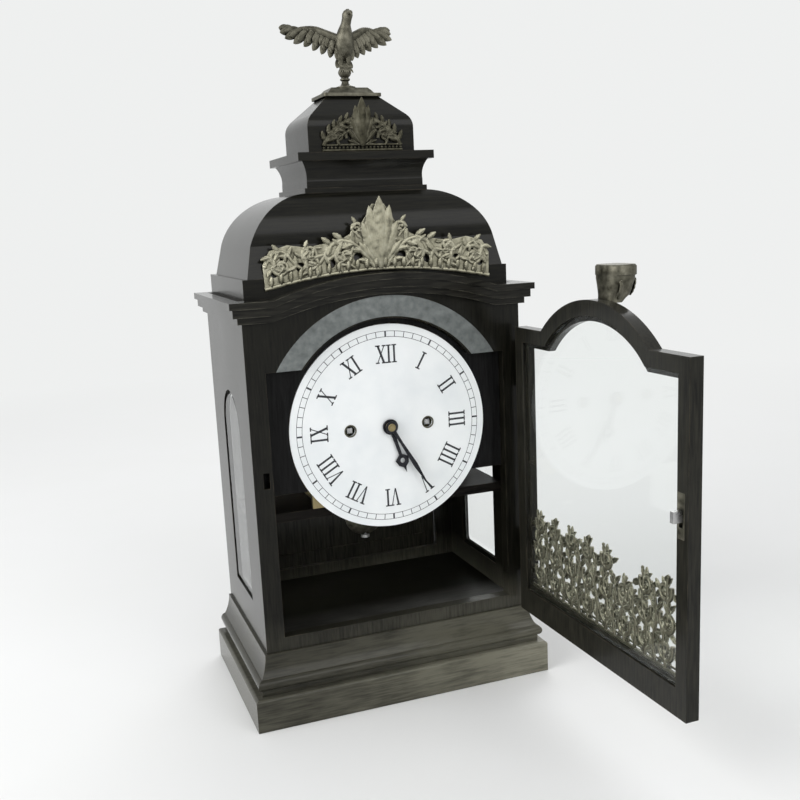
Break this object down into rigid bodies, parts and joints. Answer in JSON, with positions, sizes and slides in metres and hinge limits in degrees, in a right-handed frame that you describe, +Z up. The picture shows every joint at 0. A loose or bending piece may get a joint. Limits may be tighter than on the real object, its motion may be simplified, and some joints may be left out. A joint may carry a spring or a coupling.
{
  "type": "bracket clock",
  "caption": "Domed bracket clock with an ebonised case, arched glazed front door standing open, white dial with hands, pendulum movement, bell and brass mounts.",
  "frame": {"origin": "centre of the base's footprint, on the underside of the bottom board", "axes": "+Z up, -Y towards the front with the dial, +X to the right seen from the front"},
  "size_m": [0.2108, 0.3064, 0.439],
  "materials": {
    "ebonised_wood": "black stained wood with a worn satin polish",
    "inner_wood": "dark stained matt",
    "mask_black": "matt black paint",
    "clear_glass": "clear, slightly wavy",
    "silvered_slip": "dull silvered brass",
    "aged_brass": "cast, dull and brown with age",
    "white_enamel": "glossy fired enamel",
    "hand_black": "blackened steel",
    "movement_brass": "brushed and lacquered",
    "bright_steel": "turned and polished",
    "bell_metal": "turned, pale bronze"
  },
  "bodies": {
    "case": {"plinth_frame": "ebonised_wood", "bottom_board": "inner_wood", "base_moulding": "ebonised_wood", "case_floor": "inner_wood", "side_panel_left": "ebonised_wood", "side_panel_right": "ebonised_wood", "side_glasses": "clear_glass", "front_frame": "ebonised_wood", "arch_slip": "silvered_slip", "back_frame": "ebonised_wood", "front_cornice": "ebonised_wood", "side_cornices": "ebonised_wood", "top_board": "inner_wood", "dome_plinth": "ebonised_wood", "lower_dome": "ebonised_wood", "cupola_moulding": "ebonised_wood", "cupola": "ebonised_wood", "finial_cap": "aged_brass", "eagle_finial": "aged_brass", "dome_crest": "aged_brass", "cupola_mount": "aged_brass", "dial_mask": "mask_black", "seat_board": "inner_wood", "front_hinge_posts": "aged_brass", "dial": "white_enamel", "front_plate": "movement_brass", "back_plate": "movement_brass", "pillars": "movement_brass", "suspension_cock": "movement_brass", "bell_stand": "movement_brass", "bell": "bell_metal"},
    "front_door": {"front_door": "ebonised_wood", "front_door_glass": "clear_glass", "front_hinge_leaves": "aged_brass", "door_fret": "aged_brass", "door_cresting": "aged_brass", "door_lock": "aged_brass"},
    "lock_bolt": {"lock_bolt": "bright_steel"},
    "back_door": {"back_door": "ebonised_wood", "back_door_panel": "ebonised_wood", "back_door_pins": "aged_brass"},
    "turn_button": {"back_turn_button": "aged_brass"},
    "going_barrel": {"going_barrel": "movement_brass"},
    "strike_barrel": {"strike_barrel": "movement_brass"},
    "going_arbor": {"going_arbor": "bright_steel"},
    "strike_arbor": {"strike_arbor": "bright_steel"},
    "centre_wheel": {"centre_wheel": "movement_brass"},
    "third_wheel": {"third_wheel": "movement_brass"},
    "escape_wheel": {"escape_wheel": "movement_brass"},
    "pin_wheel": {"pin_wheel": "movement_brass"},
    "fly": {"fly": "movement_brass"},
    "pallets": {"pallets": "bright_steel"},
    "pendulum": {"pendulum_rod": "bright_steel", "pendulum_bob": "movement_brass"},
    "hammer": {"hammer": "bright_steel"},
    "minute_hand": {"cannon_pinion": "movement_brass", "minute_hand": "hand_black"},
    "minute_wheel": {"minute_wheel": "movement_brass"},
    "hour_hand": {"hour_wheel": "movement_brass", "hour_hand": "hand_black"}
  },
  "joints": [
    {"name": "front_door_hinge", "type": "hinge", "parent": "case", "child": "front_door", "pos_m": [0.09, -0.0613, 0.148], "axis": [0, 0, 1], "range_deg": [-91, 74]},
    {"name": "lock_bolt_drop", "type": "slide", "parent": "front_door", "child": "lock_bolt", "axis": [0, 0, -1], "range_m": [0, 0.003]},
    {"name": "back_door_hinge", "type": "hinge", "parent": "case", "child": "back_door", "pos_m": [0.067, 0.06, 0.15], "axis": [0, 0, -1], "range_deg": [0, 90]},
    {"name": "turn_button_pivot", "type": "hinge", "parent": "back_door", "child": "turn_button", "pos_m": [-0.0635, 0.06, 0.15], "axis": [0, -1, 0], "range_deg": [0, 90]},
    {"name": "minute_hand_turn", "type": "hinge", "parent": "case", "child": "minute_hand", "pos_m": [0, -0.045, 0.18], "axis": [0, 1, 0], "continuous": true},
    {"name": "minute_wheel_turn", "type": "hinge", "parent": "case", "child": "minute_wheel", "pos_m": [0, -0.038, 0.162], "axis": [0, 1, 0], "continuous": true},
    {"name": "hour_hand_turn", "type": "hinge", "parent": "case", "child": "hour_hand", "pos_m": [0, -0.045, 0.18], "axis": [0, 1, 0], "continuous": true},
    {"name": "third_wheel_turn", "type": "hinge", "parent": "case", "child": "third_wheel", "pos_m": [0.006, -0.0135, 0.20137], "axis": [0, 1, 0], "continuous": true},
    {"name": "centre_wheel_turn", "type": "hinge", "parent": "case", "child": "centre_wheel", "pos_m": [0, -0.0135, 0.18], "axis": [0, 1, 0], "continuous": true},
    {"name": "going_barrel_turn", "type": "hinge", "parent": "case", "child": "going_barrel", "pos_m": [0.026, -0.0135, 0.18], "axis": [0, 1, 0], "continuous": true},
    {"name": "escape_wheel_turn", "type": "hinge", "parent": "case", "child": "escape_wheel", "pos_m": [0, -0.0135, 0.2194], "axis": [0, 1, 0], "continuous": true},
    {"name": "pin_wheel_turn", "type": "hinge", "parent": "case", "child": "pin_wheel", "pos_m": [-0.03052, -0.0135, 0.20561], "axis": [0, 1, 0], "continuous": true},
    {"name": "strike_barrel_turn", "type": "hinge", "parent": "case", "child": "strike_barrel", "pos_m": [-0.026, -0.0135, 0.18], "axis": [0, 1, 0], "continuous": true},
    {"name": "fly_turn", "type": "hinge", "parent": "case", "child": "fly", "pos_m": [-0.02504, -0.0135, 0.22064], "axis": [0, 1, 0], "continuous": true},
    {"name": "going_winding", "type": "hinge", "parent": "case", "child": "going_arbor", "pos_m": [0.026, -0.0135, 0.18], "axis": [0, 1, 0], "range_deg": [0, 1800]},
    {"name": "strike_winding", "type": "hinge", "parent": "case", "child": "strike_arbor", "pos_m": [-0.026, -0.0135, 0.18], "axis": [0, 1, 0], "range_deg": [0, 1800]},
    {"name": "pendulum_swing", "type": "hinge", "parent": "case", "child": "pendulum", "pos_m": [0, 0.0155, 0.2319], "axis": [0, 1, 0], "range_deg": [-4, 4]},
    {"name": "pallets_rock", "type": "hinge", "parent": "case", "child": "pallets", "pos_m": [0, -0.0135, 0.2319], "axis": [0, 1, 0], "range_deg": [-4, 4]},
    {"name": "hammer_lift", "type": "hinge", "parent": "case", "child": "hammer", "pos_m": [-0.044, -0.0135, 0.216], "axis": [0, -1, 0], "range_deg": [0, 12]}
  ],
  "couplings": [
    {"joint": "minute_wheel_turn", "follows": "minute_hand_turn", "ratio": -0.33333},
    {"joint": "hour_hand_turn", "follows": "minute_hand_turn", "ratio": 0.083333},
    {"joint": "centre_wheel_turn", "follows": "third_wheel_turn", "ratio": -0.13333},
    {"joint": "going_barrel_turn", "follows": "third_wheel_turn", "ratio": 0.014815},
    {"joint": "escape_wheel_turn", "follows": "third_wheel_turn", "ratio": -8},
    {"joint": "strike_barrel_turn", "follows": "pin_wheel_turn", "ratio": -0.11111},
    {"joint": "fly_turn", "follows": "pin_wheel_turn", "ratio": -8},
    {"joint": "pallets_rock", "follows": "pendulum_swing", "ratio": 1}
  ]
}
